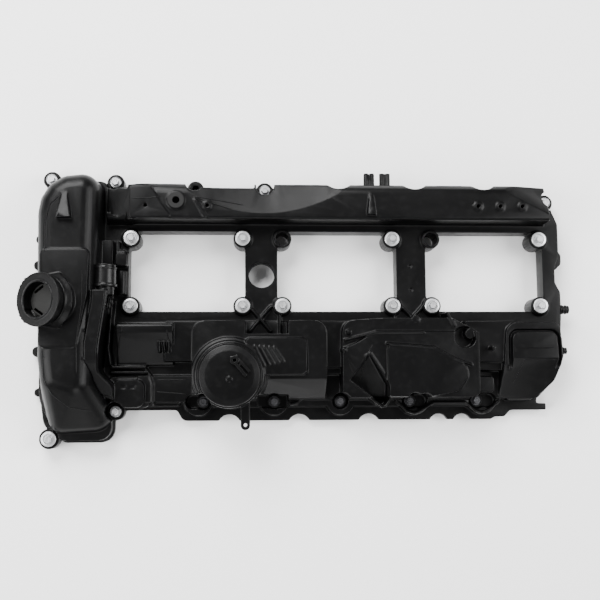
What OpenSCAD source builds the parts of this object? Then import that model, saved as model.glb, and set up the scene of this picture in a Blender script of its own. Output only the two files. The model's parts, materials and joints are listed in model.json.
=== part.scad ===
// Cylinder head cover of a straight-six engine with a built-in crankcase ventilation.
// Frame: X along the crankshaft (timing end at -X), Y across the engine (exhaust side at +Y), Z up.
// The origin lies in the sealing plane, under the middle of the cover.

/* [Cover] */
// Distance between the middles of neighbouring windows, which is two cylinder bores
window_pitch = 182; // [180:1:184]
// Length of a window opening along the engine
window_l = 146; // [144:1:148]
// Width of a window opening across the engine
window_w = 98; // [94:1:98]
// Height of the window rims and of the valley between them
valley_h = 28; // [26:1:30]
// Height of the camshaft bulge
bulge_h = 58; // [56:1:62]
// Height of the timing chain dome
dome_h = 80; // [78:1:84]
// Height of the oil separator chambers
chamber_h = 60; // [58:1:62]
// Thickness of the bolting flange
flange_t = 10; // [9:1:12]
// Wall thickness of the moulding
wall = 3; // [2.5:0.1:3.5]

/* [Oil filler neck] */
// Lean of the neck towards the timing end, in degrees
neck_lean = 30; // [24:1:32]
// Radius of the filler bore
filler_r = 20; // [18:0.5:20.5]
// Radius of the bayonet collar
collar_r = 31; // [30:0.5:32]

/* [Pressure control valve] */
// Radius of the round cap
cap_r = 36; // [35:0.5:37]
// Height of the top of the cap
cap_top = 84; // [83:1:86]

/* [Fasteners] */
// Radius of the screw shanks
screw_r = 3; // [2.8:0.1:3]
// Radius of the wide screw flanges at the windows
flange_r = 8.9; // [8:0.1:9]
// Radius of the small screw flanges at the edge
small_flange_r = 6.6; // [6:0.1:7]
// Radius of the bosses around the wide screws
boss_r = 11.2; // [11:0.1:11.5]

/* [Seals] */
// How far the gaskets stand out below the moulding
gasket_proud = 1.2; // [1:0.1:1.5]
// Width of a gasket bead
gasket_w = 4.4; // [4:0.1:4.6]
// Depth of the gasket grooves
groove_d = 4; // [3.5:0.1:4.5]

/* [Hidden] */
$fn = 48;
EPS = 0.01;
black_plastic = [0.13, 0.13, 0.14];

base_z = gasket_proud;
window_mid = [41, 45];
window_x = [for (i = [-1 : 1]) window_mid[0] + i * window_pitch];
// The front window is shorter, because the web behind it carries the round bore
window_len = [window_l - 6, window_l, window_l];
screw_dx = 67;
screw_y = [2.5, 84.5];

window_screws_at = [
    for (i = [0 : 2]) for (sx = [-1, 1]) for (y = screw_y)
        if (!(i > 0 && sx < 0 && y == screw_y[1])) [window_x[i] + sx * screw_dx, y]
];
open_bosses_at = [for (i = [1, 2]) [window_x[i] - screw_dx, screw_y[1]]];
window_boss_top = valley_h + 5;
front_corner_screw = [-303, -155];
edge_screws_at = [[-306, 158], [-229, 155], [-47, 146], [303, 133], [-225, -123]];
edge_boss_top = 20;
blind_boss = [-132, 149];
pocket_screws_at = [[-121, -112], [-36, -112], [44, -112], [129, -112], [211, -112]];
// Sideways reach of the relief beside each pocket screw
pocket_reach = [-12, 0, 0, 12, 14];
pocket_floor = 16;
sensor_bore = [-51, 41];
sensor_bore_r = 15.8;
valve_at = [-89, -82];
neck_at = [-304, 4, 92];
cam_screws_at = [[-189, 120], [-116, 120], [210, 121], [237, 121], [264, 121]];
stub_at = [-234.5, 12, 60];
cup_at = [-153, 126];
cup_r = 8.4;
// Room between neighbouring pieces
gap = 0.3;
// Radii of the two sizes of screw bores and of the steel sleeves in them
wide_bore = 8;
slim_bore = 6;
wide_sleeve = 5;
slim_sleeve = 4.3;
// Heights of the pressure control valve, from its floor up
cup_floor = 50;
rim_z = 69.3;
cup_top = 72;
plate_z = 24;
drain_at = [38, -62];
boost_check_at = [70, -66];
vacuum_check_at = [150, -66];
vacuum_ports = [[-1, 12], [-52, 10]];

// Outline points are [x, y] or [x, y, corner radius]
flange_edge = [
    [-318, 146, 20], [-304, 158, 12], [-243, 158, 8], [-236, 150, 4], [298, 150, 16],
    [309, 128, 8], [318, 116, 4], [322, 109, 3], [322, 73, 2], [325, 69, 2], [325, 57, 5],
    [313, 46, 5], [313, 36, 5], [323, 23, 4], [323, -12, 4], [320, -45], [318, -61, 3],
    [312, -72, 5], [310, -86, 8], [289, -109, 4], [288, -116, 2], [300, -116, 1], [300, -124, 1],
    [255, -124, 5], [248, -132, 3], [236, -132, 3], [231, -135, 2], [-146, -135, 9],
    [-153, -122, 5], [-227, -122], [-227, -160, 16], [-286, -160, 8], [-312, -140, 20], [-319, -90, 40]
];
core_edge = [
    [-315, 148, 34], [-240, 156, 12], [-236, 148, 4], [297, 148, 18], [310, 120, 6], [316, 106, 5],
    [316, 62, 8], [311, 50, 6], [311, 33, 6], [316.5, 21, 6], [316.5, -58, 8], [304, -90, 14],
    [284, -110, 6], [-145, -110, 6], [-151, -117, 4], [-221, -117, 4], [-229, -126, 5],
    [-229, -157, 15], [-290, -157, 12], [-315, -110, 50]
];
dome_foot = [[-316, 148, 36], [-240, 156, 12], [-240, -157, 6], [-290, -157, 24], [-316, -90, 60]];
// Middles of the spheres that round the dome's shoulders, and of those at its low near corner
shoulder_r = 20;
dome_upper = [[-290, -60], [-287, -84], [-266, -90]];
dome_shoulders = concat(dome_upper, [[-293, 107], [-291, 119], [-285, 128.5], [-276, 134], [-262, 135.5]]);
dome_lower = [[-291, -106], [-284, -129], [-248, -127]];
dome_lower_z = 24;
chamber_front = [[-133, -108], [-133, -17, 14], [25, -17, 14], [25, -108]];
chamber_front_plate = [[-70, -81, 3], [-70, -38, 4], [1, -38, 6], [2, -81, 4]];
chamber_rear = [[44, -108], [44, -17, 14], [92, -14, 30], [176, -14, 12], [207, -30, 12], [207, -108]];
chamber_rear_top = [[44, -108], [44, -50, 6], [58, -45, 4], [83, -31, 8], [207, -31], [207, -108]];
chamber_rear_plate = [[97, -107, 4], [97, -45, 6], [150, -49, 10], [191, -72, 12], [192, -84, 8],
    [181, -101, 10], [150, -107, 6]];
chamber_rear_facet = [[75, -57], [52, -88], [99, -122], [98, -93]];
end_chamber = [[236, -110], [243, -19, 14], [308, -18, 10], [312, -58, 6], [303, -89, 14], [283, -109, 6]];
end_panel = [[249, -112], [249, -31, 8], [303, -31, 8], [305, -62, 4], [297, -86, 12], [279, -105, 6], [277, -112]];
duct_edge = [[-250, 17], [-250, 4, 20], [-259, -46, 30], [-258, -88, 16], [-248, -103, 12], [-225, -109],
    [-225, -92, 10], [-240, -76, 10], [-238, -46, 40], [-231, 4, 20], [-230, 17]];
duct_ridge = [[-247, 17], [-247, 4, 20], [-255, -46, 30], [-254, -87, 14], [-245, -100, 10], [-225, -106],
    [-225, -94, 10], [-241, -77, 8], [-240, -46, 40], [-233, 4, 20], [-232, 17]];
// The duct falls with the dome towards the near side; points are [y, z]
duct_fall = [[-112, 0], [-112, 44], [-66, 79, 34], [18, 79], [18, 0]];
sensor_box = [[-225, -118, 3], [-225, -86, 5], [-190, -86, 8], [-190, -118, 8]];

function unit(v) = v / norm(v);

// The points of one rounded corner b between a and c
function corner(a, b, c, r, n) =
    (is_undef(r) || r == 0) ? [b] :
    let (u = unit(a - b), w = unit(c - b),
         half = acos(u * w) / 2,
         m = b + unit(u + w) * r / sin(half),
         s = unit(b + u * r / tan(half) - m),
         e = unit(b + w * r / tan(half) - m))
    [for (k = [0 : n]) m + unit(s * (n - k) + e * k) * r];

function rounded(p, n = 5) =
    let (q = [for (v = p) [v[0], v[1]]], c = len(p))
    [for (i = [0 : c - 1]) each corner(q[(i + c - 1) % c], q[i], q[(i + 1) % c], p[i][2], n)];

// A flat shape with rounded corners, moved inwards by inset
module outline(p, inset = 0) {
    if (inset == 0) polygon(rounded(p));
    else offset(delta = -inset) polygon(rounded(p));
}

module prism(p, z0, z1, inset = 0) {
    translate([0, 0, z0]) linear_extrude(z1 - z0) outline(p, inset);
}

// A straight bar along X with the outline p in the YZ plane
module x_bar(p, x0, x1) {
    translate([x0, 0, 0]) rotate([90, 0, 90]) linear_extrude(x1 - x0) polygon(rounded(p));
}

module tube(r_out, r_in, z0, z1) {
    translate([0, 0, z0]) difference() {
        cylinder(r = r_out, h = z1 - z0);
        translate([0, 0, -1]) cylinder(r = r_in, h = z1 - z0 + 2);
    }
}

// All that lies above a plane through point at, falling towards the heading by pitch degrees
module above_slope(at, heading, pitch, size = 160) {
    translate(at) rotate([0, 0, heading - 90]) rotate([-pitch, 0, 0])
        translate([-size / 2, 0, 0]) cube([size, size, size]);
}

// A lug that rises from a point at its far end to a step of height h and width w
module hook_lug(at, l, w, h) {
    translate(at) polyhedron(
        points = [[-w / 2, 0, -2], [w / 2, 0, -2], [w / 6, l, -2], [-w / 6, l, -2],
                  [-w / 2, 0, h], [w / 2, 0, h], [w / 6, l, 0], [-w / 6, l, 0]],
        faces = [[0, 1, 2, 3], [7, 6, 5, 4], [0, 4, 5, 1], [1, 5, 6, 2], [2, 6, 7, 3], [3, 7, 4, 0]]);
}

module at_each(points) {
    for (p = points) translate([p[0], p[1], 0]) children();
}

module window_plan(i, grow = 0) {
    translate([window_x[i] - window_len[i] / 2 - grow, window_mid[1] - window_w / 2 - grow])
        offset(r = 3 + grow) offset(delta = -3 - grow)
            square([window_len[i] + 2 * grow, window_w + 2 * grow]);
}

// ---- the forms of the main moulding ----

module flange_plan() {
    difference() {
        union() {
            outline(flange_edge);
            for (p = edge_screws_at) translate(p) circle(r = 10.5);
            translate(front_corner_screw) circle(r = 12);
            translate(blind_boss) circle(r = 10);
            for (p = [[-321, 86, 5], [-322, 54, 6], [-321, -51, 6.5], [-319, -100, 5]])
                translate([p[0], p[1]]) circle(r = p[2]);
        }
        for (x = [42, 134, 218]) translate([x, 162]) circle(r = 16);
        for (x = [-90, -5, 80]) translate([x, -141.5]) circle(r = 14);
        for (x = [166, 195]) translate([x, -140]) circle(r = 12);
    }
}

// Radius of the scoop in the bulge
scoop_r = 560;

module bulge_form(inset) {
    difference() {
        union() {
            x_bar([[102 + inset, 0], [104 + inset, bulge_h - inset, 3], [148 - inset, bulge_h - inset, 13],
                   [150 - inset, 0]], -212 + inset, 298 - inset);
            x_bar([[100 + inset, 0], [103 + inset, bulge_h - 9 - inset, 12],
                   [145 - inset, bulge_h - 9 - inset, 16], [148 - inset, 0]], -236 + inset, -206);
        }
        // The outer shoulder is scooped out in a long shallow lens, and cut off at both ends
        translate([-48, 111, bulge_h]) rotate([-107, 0, 0])
            translate([0, -scoop_r, -60]) cylinder(r = scoop_r + inset, h = 160);
        above_slope([-178, 133, bulge_h - inset], 150, 24, 90);
        above_slope([236, 143, bulge_h - inset], 63, 34, 180);
        for (x = [42, 134, 218]) translate([x, 161, 0]) cylinder(r = 19 + inset, h = 100);
        translate([-126, 143 - inset, flange_t]) cube([66, 20, 60]);
    }
}

module dome_form(inset) {
    hull() {
        prism(dome_foot, 0, 4, inset);
        for (p = dome_shoulders)
            translate([p[0], p[1], dome_h - shoulder_r]) sphere(r = shoulder_r - inset, $fn = 28);
    }
    hull() {
        for (p = dome_upper)
            translate([p[0], p[1], dome_h - shoulder_r]) sphere(r = shoulder_r - inset, $fn = 28);
        for (p = dome_lower) translate([p[0], p[1], dome_lower_z]) {
            sphere(r = shoulder_r - inset, $fn = 28);
            translate([0, 0, 4 - dome_lower_z]) cylinder(r = shoulder_r - inset, h = 4, $fn = 28);
        }
    }
}

module front_box_form(inset) {
    x_bar([[-70 + inset, 0], [-68 + inset, 34 - inset], [-30, 52 - inset, 3],
           [-20 - inset, 52 - inset, 3], [-17 - inset, 0]], -222 + inset, -156 - inset);
}

module chamber_front_form(inset) {
    difference() {
        union() {
            prism(chamber_front, 0, chamber_h - inset, inset);
            prism(chamber_front_plate, 20, chamber_h + 4 - inset, inset);
        }
        translate([-50 - inset, 0, 0]) intersection() {
            translate([0, -140, 0]) cube([100, 60, 100]);
            above_slope([0, -86, chamber_h - inset], -90, 52);
        }
        // Recess that holds the crossed ribs behind the bored web
        translate([-71 - inset, -33 - inset, valley_h + 4 - inset]) cube([51 + 2 * inset, 40, 60]);
    }
}

module chamber_rear_form(inset) {
    difference() {
        union() {
            prism(chamber_rear, 0, chamber_h - 4 - inset, inset);
            prism(chamber_rear_top, 20, chamber_h - inset, inset);
            prism(chamber_rear_plate, 20, chamber_h + 4 - inset, inset);
        }
        intersection() {
            prism(chamber_rear_facet, 0, 100, -inset);
            above_slope([75, -57, chamber_h - inset], -69, 28);
        }
        translate([190, -37, chamber_h - 14 - inset]) cylinder(r = 13 + inset, h = 40);
    }
}

module end_chamber_form(inset) {
    difference() {
        union() {
            difference() {
                prism(end_chamber, 0, 50 - inset, inset);
                translate([0, 0, 46 - inset]) linear_extrude(20) outline(end_panel, -4 - inset);
            }
            prism(end_panel, 0, 54 - inset, inset);
        }
        above_slope([272, -62, 54 - inset], -90, 29);
    }
}

// The duct's plan shape, cut to its falling top line, lowered by drop
module duct_form(p, inset, drop) {
    intersection() {
        prism(p, 0, 120, inset);
        translate([0, 0, -drop]) x_bar(duct_fall, -280, -210);
    }
}

// The whole outer form, and with inset the hollow below it
module body_form(inset) {
    top = valley_h - inset;
    prism(core_edge, 0, top, inset);
    bulge_form(inset);
    dome_form(inset);
    front_box_form(inset);
    chamber_front_form(inset);
    chamber_rear_form(inset);
    end_chamber_form(inset);
    duct_form(duct_edge, inset, 6 + inset);
    prism([[-243, 50, 2], [-243, 80, 2], [-221, 80, 2], [-221, 71], [-211, 66, 2], [-211, 50, 2]],
        0, 39 - inset, inset);
    prism(sensor_box, 0, 40 - inset, inset);
    prism([[-198, -112], [-198, -81], [-112, -81], [-112, -112]], 0, 34 - inset, inset);
    prism([[-166, -64], [-166, -17, 3], [-112, -17], [-112, -64]], 0, 44 - inset, inset);
    prism([[8, -72], [8, -17], [62, -17], [62, -72]], 0, 46 - inset, inset);
    prism([[8, -80], [8, -17], [62, -17], [62, -80]], 0, 40 - inset, inset);
    prism([[194, -66], [194, -17], [258, -17], [258, -66]], 0, 46 - inset, inset);
    prism([[194, -76], [194, -17], [258, -17], [258, -76]], 0, 41 - inset, inset);
    prism([[205, -102, 3], [205, -84, 3], [228, -84, 3], [228, -102, 3]], 0, 42 - inset, inset);
}

// ---- cut-outs and bosses of the main moulding ----

// The dry area round the coil windows; the front two share one, with the web between them
module dry_plan(rear, grow) {
    offset(r = grow) {
        for (i = rear ? [2] : [0, 1]) window_plan(i);
        for (i = rear ? [2] : [0, 1]) for (sx = [-1, 1]) for (y = screw_y)
            translate([window_x[i] + sx * screw_dx, y]) circle(r = boss_r);
        if (!rear) translate([-74, window_mid[1] - 45]) square([48, 90]);
    }
}

// The line that the perimeter gasket follows, inside all edge and pocket screws
module seal_plan() {
    difference() {
        outline(core_edge);
        for (p = concat(edge_screws_at, pocket_screws_at, [front_corner_screw, blind_boss]))
            translate(p) circle(r = 12.5);
    }
}

module gasket_ring_plan(inset, w) {
    difference() {
        offset(delta = -inset) children();
        offset(delta = -inset - w) children();
    }
}

// Room round the screw heads; with grow, the walls of that room
module screw_reliefs(grow) {
    for (p = edge_screws_at) translate([p[0], p[1], edge_boss_top - grow]) cylinder(r = 11 + grow, h = 90);
    translate([front_corner_screw[0], front_corner_screw[1], 22 - grow]) cylinder(r = 12.2 + grow, h = 90);
    translate([blind_boss[0], blind_boss[1], 16 - grow]) cylinder(r = 10.4 + grow, h = 90);
    for (i = [0 : len(pocket_screws_at) - 1]) {
        p = pocket_screws_at[i];
        reach = pocket_reach[i];
        translate([p[0], p[1], pocket_floor - grow]) cylinder(r = 9.6 + grow, h = 90);
        if (reach != 0) {
            translate([p[0] + reach, p[1], pocket_floor - grow]) cylinder(r = 8.8 + grow, h = 90);
            translate([p[0] + min(0, reach), p[1] - 8 - grow, pocket_floor - grow])
                cube([abs(reach), 16 + 2 * grow, 90]);
        }
    }
    translate([-57 - grow, -120 - grow, pocket_floor - grow]) cube([38 + 2 * grow, 16 + 2 * grow, 90]);
}

module bar(a, b, w, z0, z1) {
    translate([a[0], a[1], z0]) rotate([0, 0, atan2(b[1] - a[1], b[0] - a[0])])
        translate([0, -w / 2, 0]) cube([norm(b - a), w, z1 - z0]);
}

module neck_frame() {
    translate(neck_at) rotate([0, -neck_lean, 0]) children();
}

// The breather hose leaves the duct towards the far side
module stub_frame() {
    translate(stub_at) rotate([-90, 0, 0]) children();
}

module shell() {
    difference() {
        union() {
            body_form(0);
            translate([valve_at[0], valve_at[1], 0]) cylinder(r = cap_r + 2, h = 72);
            intersection() {
                prism(chamber_front, 0, 100);
                translate([valve_at[0], valve_at[1], 0]) {
                    cylinder(r = cap_r + 5, h = 65);
                    cylinder(r = cap_r + 9, h = 62.5);
                }
            }
            prism([[-146, -118, 8], [-146, -100], [240, -100], [240, -118, 6]], 0, 22);
            for (i = [0 : len(pocket_screws_at) - 1])
                translate([pocket_screws_at[i][0] + pocket_reach[i] / 2, pocket_screws_at[i][1], 0])
                    cylinder(r = 17, h = 22);
        }
        difference() {
            translate([0, 0, -EPS]) body_form(wall);
            screw_reliefs(wall);
            translate([valve_at[0], valve_at[1], 44]) cylinder(r = cap_r + 2, h = 60);
        }
    }
}

module feet() {
    linear_extrude(base_z + flange_t) difference() {
        flange_plan();
        offset(delta = -10.5) seal_plan();
    }
    for (rear = [false, true]) {
        linear_extrude(base_z + 8) dry_plan(rear, 8.4);
        linear_extrude(valley_h) dry_plan(rear, wall);
    }
    translate([sensor_bore[0], sensor_bore[1], 0]) cylinder(r = sensor_bore_r + 3.4, h = valley_h);
}

module bosses() {
    at_each(concat(window_screws_at, open_bosses_at)) cylinder(r = boss_r, h = window_boss_top);
    at_each(edge_screws_at) cylinder(r = 10.5, h = edge_boss_top);
    at_each([front_corner_screw]) cylinder(r = 12, h = 22);
    at_each(pocket_screws_at) cylinder(r = 9.8, h = pocket_floor);
    at_each([blind_boss]) cylinder(r = 10, h = 16);
    for (p = cam_screws_at) translate([p[0], p[1], bulge_h - 14]) cylinder(r = 5.2, h = 15.4);
    translate([cup_at[0], cup_at[1], bulge_h - 15]) cylinder(r = cup_r + 2.6, h = 16);
    translate([197, -33, chamber_h - 18]) cylinder(r = 6.2, h = 14);
    neck_frame() {
        translate([0, 0, -38]) cylinder(r = 29, h = 27);
        translate([0, 0, -19]) cylinder(r1 = 34.5, r2 = 29, h = 6);
    }
    // Hose stub of the breather duct
    stub_frame() cylinder(r = 10.6, h = 35);
}

// A low ridge of width w along the points of a line
module ridge(line, w, z0, z1) {
    for (k = [1 : len(line) - 1]) bar(line[k - 1], line[k], w, z0, z1);
    for (p = line) translate([p[0], p[1], z0]) cylinder(r = w / 2 + gap, h = z1 + gap - z0);
}

// Where ribs start inside the roof of the valleys
rib_z = valley_h - 2;

module surface_details() {
    // Raised field and seam of the camshaft bulge
    prism([[-208, 105, 2], [-208, 144, 5], [-183, 144, 2], [-170, 121], [-158, 105, 2]],
        bulge_h - 2, bulge_h + 1.4);
    bar([-131, 127], [-118, 104], 2.4, bulge_h - 2, bulge_h + 1);
    hook_lug([-279.5, 100, dome_h], 31, 17, 9);
    hook_lug([80, 110, bulge_h], 27, 10, 7);
    prism([[-243, 50, 2], [-243, 80, 2], [-228, 80, 2], [-228, 50, 2]], 37, 44);
    prism([[-225, 50, 2], [-225, 65, 2], [-212, 65, 2], [-212, 50, 2]], 37, 43);
    translate([-218.5, 16, valley_h + 3]) rotate([-90, 0, 0]) cylinder(r = 5.5, h = 29);
    // Field round the filler neck
    prism([[-306, -50, 6], [-306, 64, 6], [-250, 64, 7], [-252, 10, 6], [-264, -50, 6]], dome_h - 3, dome_h + 1.2);
    // Harness posts
    for (x = [82, 101.5]) for (s = [-1, 1])
        translate([x + s * 3.7, 138, 24]) rotate([-90, 0, 0]) cylinder(r = 3.1, h = 30);
    for (x = [82, 101.5]) translate([x - 3.7, 138, 22.5]) cube([7.4, 21, 3]);
    // Ribs that cross behind the webs
    for (s = [-1, 1]) {
        bar([-53 + s * 14, 3], [-53 - s * 13, -29], 3, rib_z, valley_h + 4);
        bar([-53 + s * 9.5, -2], [-53 - s * 13, -29], 3, rib_z, valley_h + 8);
        bar([132 + s * 14, 3], [132 - s * 3, -15], 3, rib_z, valley_h + 5);
    }
    bar([-29, -9], [-29, -34], 2.6, rib_z, valley_h + 8);
    bar([110, -9], [110, -18], 2.6, rib_z, valley_h + 8);
    bar([169, -7], [178, -24], 3, rib_z, chamber_h - 2);
    translate([132, -15, valley_h]) cylinder(r = 4.5, h = chamber_h - valley_h - 3);
    // Ribs and marks of the separator chambers
    for (k = [0 : 4])
        bar([-60 + k * 5.6, -47 - k * 0.4], [-48 + k * 5.6, -71 + k * 1.2], 1.8, chamber_h, chamber_h + 5.6);
    for (x = [-172, -166.5, -161]) bar([x, -41], [x + 1, -54], 1.8, 30, 49);
    for (p = [[45, -52], [51, -31], [224, -50]]) translate([p[0], p[1], 40]) cylinder(r = 2.6, h = 22);
    for (y = [-71, -77]) bar([-230, y], [-188, y], 3, rib_z, y == -71 ? 39 : 36);
    ridge([[-190, -71.6], [-184, -79.3], [-180, -91], [-180, -114.2]], 2.4, rib_z, 35.2);
    bar([-228, 9], [-232, -50], 3, 20, 46);
    bar([-232, -49], [-229, -68], 3, 20, 46);
    prism([[-231, -119, 3], [-231, -82, 3], [-184, -82, 9], [-184, -119, 8]], 20, 33);
    // Weld ridges along the near side
    ridge([[-56, -104], [-43, -102.5], [-30, -103.5], [-23, -109], [-15.5, -116], [-8, -114], [6, -103], [13, -98.2]],
        2, 18, 26.5);
    ridge([[13, -98.2], [22, -91.3]], 2, rib_z, 34);
    ridge([[54.5, -89], [67, -99]], 2.4, rib_z, 40);
    ridge([[66.6, -98.8], [75, -105.6], [92.7, -119], [97, -118], [102.6, -110]], 2.6, 18, 40.5);
    ridge([[112, -112], [125, -125], [134, -127.4], [142, -124], [158, -114.4], [196, -114.4],
        [209, -125], [217, -127], [226, -123], [238, -113]], 2.4, 8, 24);
    ridge([[-47.5, -92.7], [0, -87], [7.4, -82.6], [23.7, -85.6]], 2, rib_z, 47);
    ridge([[96, -44.7], [151, -49], [177, -63], [196, -70]], 2, 50, chamber_h + 5);
    ridge([[71, -59.7], [76.4, -56], [92, -80]], 2, 50, chamber_h + 1);
    ridge([[46.5, -40.6], [63, -36.5], [83.6, -31], [140, -31]], 2, 50, chamber_h + 1.2);
    // Eyelet beside the pressure control valve, and the web below it
    prism([[-76, -108], [-76, -145, 5], [-65.2, -145, 5], [-65.2, -108]], 59.6, 64.3);
    translate([0, 0, EPS]) x_bar([[-110, 36], [-110, 61], [-134, 61]], -72, -69.5);
    for (x = [308, 315]) bar([x, 108], [x, 70], 2, 6, x == 308 ? 24 : 16);
    // Stiffening ribs below the roof
    for (k = [-2 : 2])
        bar([window_mid[0] + k * 91, 104], [window_mid[0] + k * 91, 122], 2.4, 40, bulge_h - 4);
    for (y = [-62, -30, 60]) bar([-300, y], [-254, y], 2.4, 62, dome_h - 2);
}

module cut_outs() {
    screw_reliefs(0);
    difference() {
        for (i = [0 : 2]) translate([0, 0, -1]) linear_extrude(60) window_plan(i);
        at_each(concat(window_screws_at, open_bosses_at)) translate([0, 0, -2]) cylinder(r = boss_r, h = 62);
    }
    translate([sensor_bore[0], sensor_bore[1], -1]) {
        cylinder(r = sensor_bore_r, h = 60);
        translate([0, 0, valley_h - 8]) cylinder(r = sensor_bore_r + 2, h = 5);
    }
    at_each(concat(window_screws_at, open_bosses_at, [front_corner_screw])) translate([0, 0, -1])
        cylinder(r = wide_bore, h = 60);
    at_each(concat(edge_screws_at, pocket_screws_at)) translate([0, 0, -1]) cylinder(r = slim_bore, h = 60);
    translate([blind_boss[0], blind_boss[1], 6]) cylinder(r = 4, h = 30);
    for (p = cam_screws_at) translate([p[0], p[1], bulge_h - 10]) cylinder(r = 2.1, h = 30);
    translate([cup_at[0], cup_at[1], bulge_h - 11]) cylinder(r = cup_r, h = 30);
    for (p = [[131, 52], [132, 23]]) translate([p[0], p[1], valley_h - 2]) cylinder(r = 2.2, h = 5);
    translate([-70.6, -139, 50]) cylinder(r = 2.2, h = 30);
    // The slotted field beside the hose stub
    translate([-228, 48, 36.5]) cube([3, 33, 20]);
    for (p = [[-214, -94], [-203, -94]]) translate([p[0] - 3.5, p[1] - 3, 39.4]) cube([7, 6, 5]);
    neck_frame() {
        translate([0, 0, -60]) cylinder(r = 24, h = 80);
        translate([0, 0, -11]) cylinder(r = 28 + gap, h = 30);
        translate([0, 0, -5 - gap]) cylinder(r = collar_r + gap, h = 30);
    }
    // Seat of the pressure control valve, with its port and vents
    translate([valve_at[0], valve_at[1], 0]) {
        translate([0, 0, cup_floor]) cylinder(r = cap_r - 5, h = 40);
        translate([0, 0, rim_z - gap]) cylinder(r = cap_r - 2, h = 20);
        translate([0, 0, 30]) cylinder(r = 12, h = 40);
        for (k = [0 : 7]) rotate([0, 0, 22.5 + k * 45]) translate([24, 0, 30]) cylinder(r = 4, h = 40);
    }
    stub_frame() translate([0, 0, -14]) cylinder(r = 7.6, h = 60);
    for (p = vacuum_ports) translate([290, p[0], 20]) rotate([0, 90, 0]) cylinder(r = 4, h = 60);
    // Gasket grooves
    translate([0, 0, base_z - 2]) linear_extrude(groove_d + 2) gasket_ring_plan(3, gasket_w) seal_plan();
    for (rear = [false, true]) translate([0, 0, base_z - 2]) linear_extrude(groove_d + 2) difference() {
        dry_plan(rear, 2.4 + gasket_w);
        dry_plan(rear, 2.4);
    }
    translate([-400, -300, -50]) cube([800, 600, 50 + base_z]);
}

module cover_housing() {
    color(black_plastic) difference() {
        union() {
            shell();
            feet();
            bosses();
            surface_details();
        }
        cut_outs();
    }
}

// ---- filler neck, breather duct and hose collar ----

module breather_duct_shell() {
    color(black_plastic) difference() {
        union() {
            duct_form(duct_edge, 0, 3);
            duct_form(duct_ridge, 0, 0);
        }
        duct_form(duct_edge, -2, 6 - gap);
        difference() {
            duct_form(duct_ridge, 2.4, 2.4);
            translate([-300, 14, 0]) cube([100, 20, 100]);
        }
        dome_form(-gap);
        prism([[-300, 0], [-300, -120], [-262, -120], [-262, 0]], 0, 100);
    }
}

module breather_hose_collar() {
    color(black_plastic) difference() {
        stub_frame() {
            tube(12.6, 10.6 + gap, 10, 36);
            tube(14, 10.6 + gap, 10, 13);
            tube(13.2, 10.6 + gap, 31, 33);
        }
        dome_form(-gap);
    }
}

// Where the splash baffle's ledge lies along the neck
baffle_z = -11;

module oil_filler_neck() {
    color(black_plastic) neck_frame() difference() {
        union() {
            translate([0, 0, -40]) cylinder(r = 24 - gap, h = 40);
            translate([0, 0, gap - 11]) cylinder(r = 28, h = 8);
            translate([0, 0, -5]) cylinder(r = collar_r, h = 7);
            cylinder(r = filler_r + 2, h = 3);
            for (side = [138, 222]) for (k = [-1 : 1]) rotate([0, 0, side + k * 9])
                translate([collar_r - 1, -1.6, -3]) cube([2.6, 3.2, 4]);
        }
        // Bore, with two ledges below it for the splash baffle
        translate([0, 0, baffle_z + 3]) cylinder(r = filler_r, h = 40);
        translate([0, 0, baffle_z]) cylinder(r = filler_r - 0.7, h = 10);
        translate([0, 0, -50]) cylinder(r = filler_r - 2.2, h = 60);
        // Bayonet entries and their undercuts
        for (turn = [40, 220]) rotate([0, 0, turn]) {
            translate([filler_r - 3, -4, -9]) cube([4.4, 8, 20]);
            translate([filler_r - 3, -4, -9]) cube([4.4, 13, 4]);
        }
    }
}

module filler_splash_baffle() {
    // A round plate on a ledge of the bore, with three slots that let the oil through
    color([0.2, 0.2, 0.21]) neck_frame() translate([0, 0, baffle_z + gap]) difference() {
        cylinder(r = filler_r - 1, h = 2);
        for (turn = [0, 120, 240]) rotate([0, 0, turn]) translate([13.5, -7, -1]) cube([3, 14, 4]);
    }
}

// ---- pressure control valve ----

module valve_frame() {
    translate([valve_at[0], valve_at[1], 0]) children();
}

module pcv_cap() {
    color(black_plastic) valve_frame() difference() {
        union() {
            rotate_extrude() polygon([
                [0, cup_top + gap], [cap_r, cup_top + gap], [cap_r, cap_top - 4.5], [cap_r - 1, cap_top - 3],
                [cap_r - 8, cap_top - 1.2], [cap_r - 20, cap_top - 0.3], [0, cap_top]]);
            translate([0, -4.5, cap_top - 2]) cylinder(r = 3.2, h = 3);
            tube(cap_r - 2 - gap, cap_r - 5, rim_z + 2 + gap, cup_top + 2);
        }
        translate([0, 0, cup_top - 1]) cylinder(r = cap_r - 5, h = cap_top - cup_top - 3.4);
        // Vent hole under the clip
        translate([6, 17, 60]) cylinder(r = 2, h = 40);
    }
}

// Retainer of the vent, with its two prongs
module pcv_vent_clip() {
    color([0.2, 0.2, 0.21]) valve_frame() {
        difference() {
            union() {
                translate([6, 17, cap_top + gap]) cylinder(r = 5, h = 4);
                bar([1.5, 18], [10, 20], 7, cap_top + gap, cap_top + 3.4);
            }
            translate([6, 17, 60]) cylinder(r = 2, h = 40);
        }
        bar([7, 13.5], [19, -1], 3.4, cap_top + gap, cap_top + 3);
        bar([10, 18.5], [23, 4], 3, cap_top + gap, cap_top + 3);
        bar([11, 11], [15, 15], 2.4, cap_top + gap, cap_top + 2);
    }
}

module pcv_diaphragm() {
    color([0.16, 0.16, 0.17]) valve_frame() rotate_extrude() polygon([
        [6, 63], [18, 63], [24, 66.2], [27.4, rim_z + 0.8], [31, rim_z], [cap_r - 2 - gap, rim_z],
        [cap_r - 2 - gap, rim_z + 2], [30.6, rim_z + 2], [26.6, rim_z + 2], [23, 67.4], [17.6, 64.2], [6, 64.2]]);
}

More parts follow.
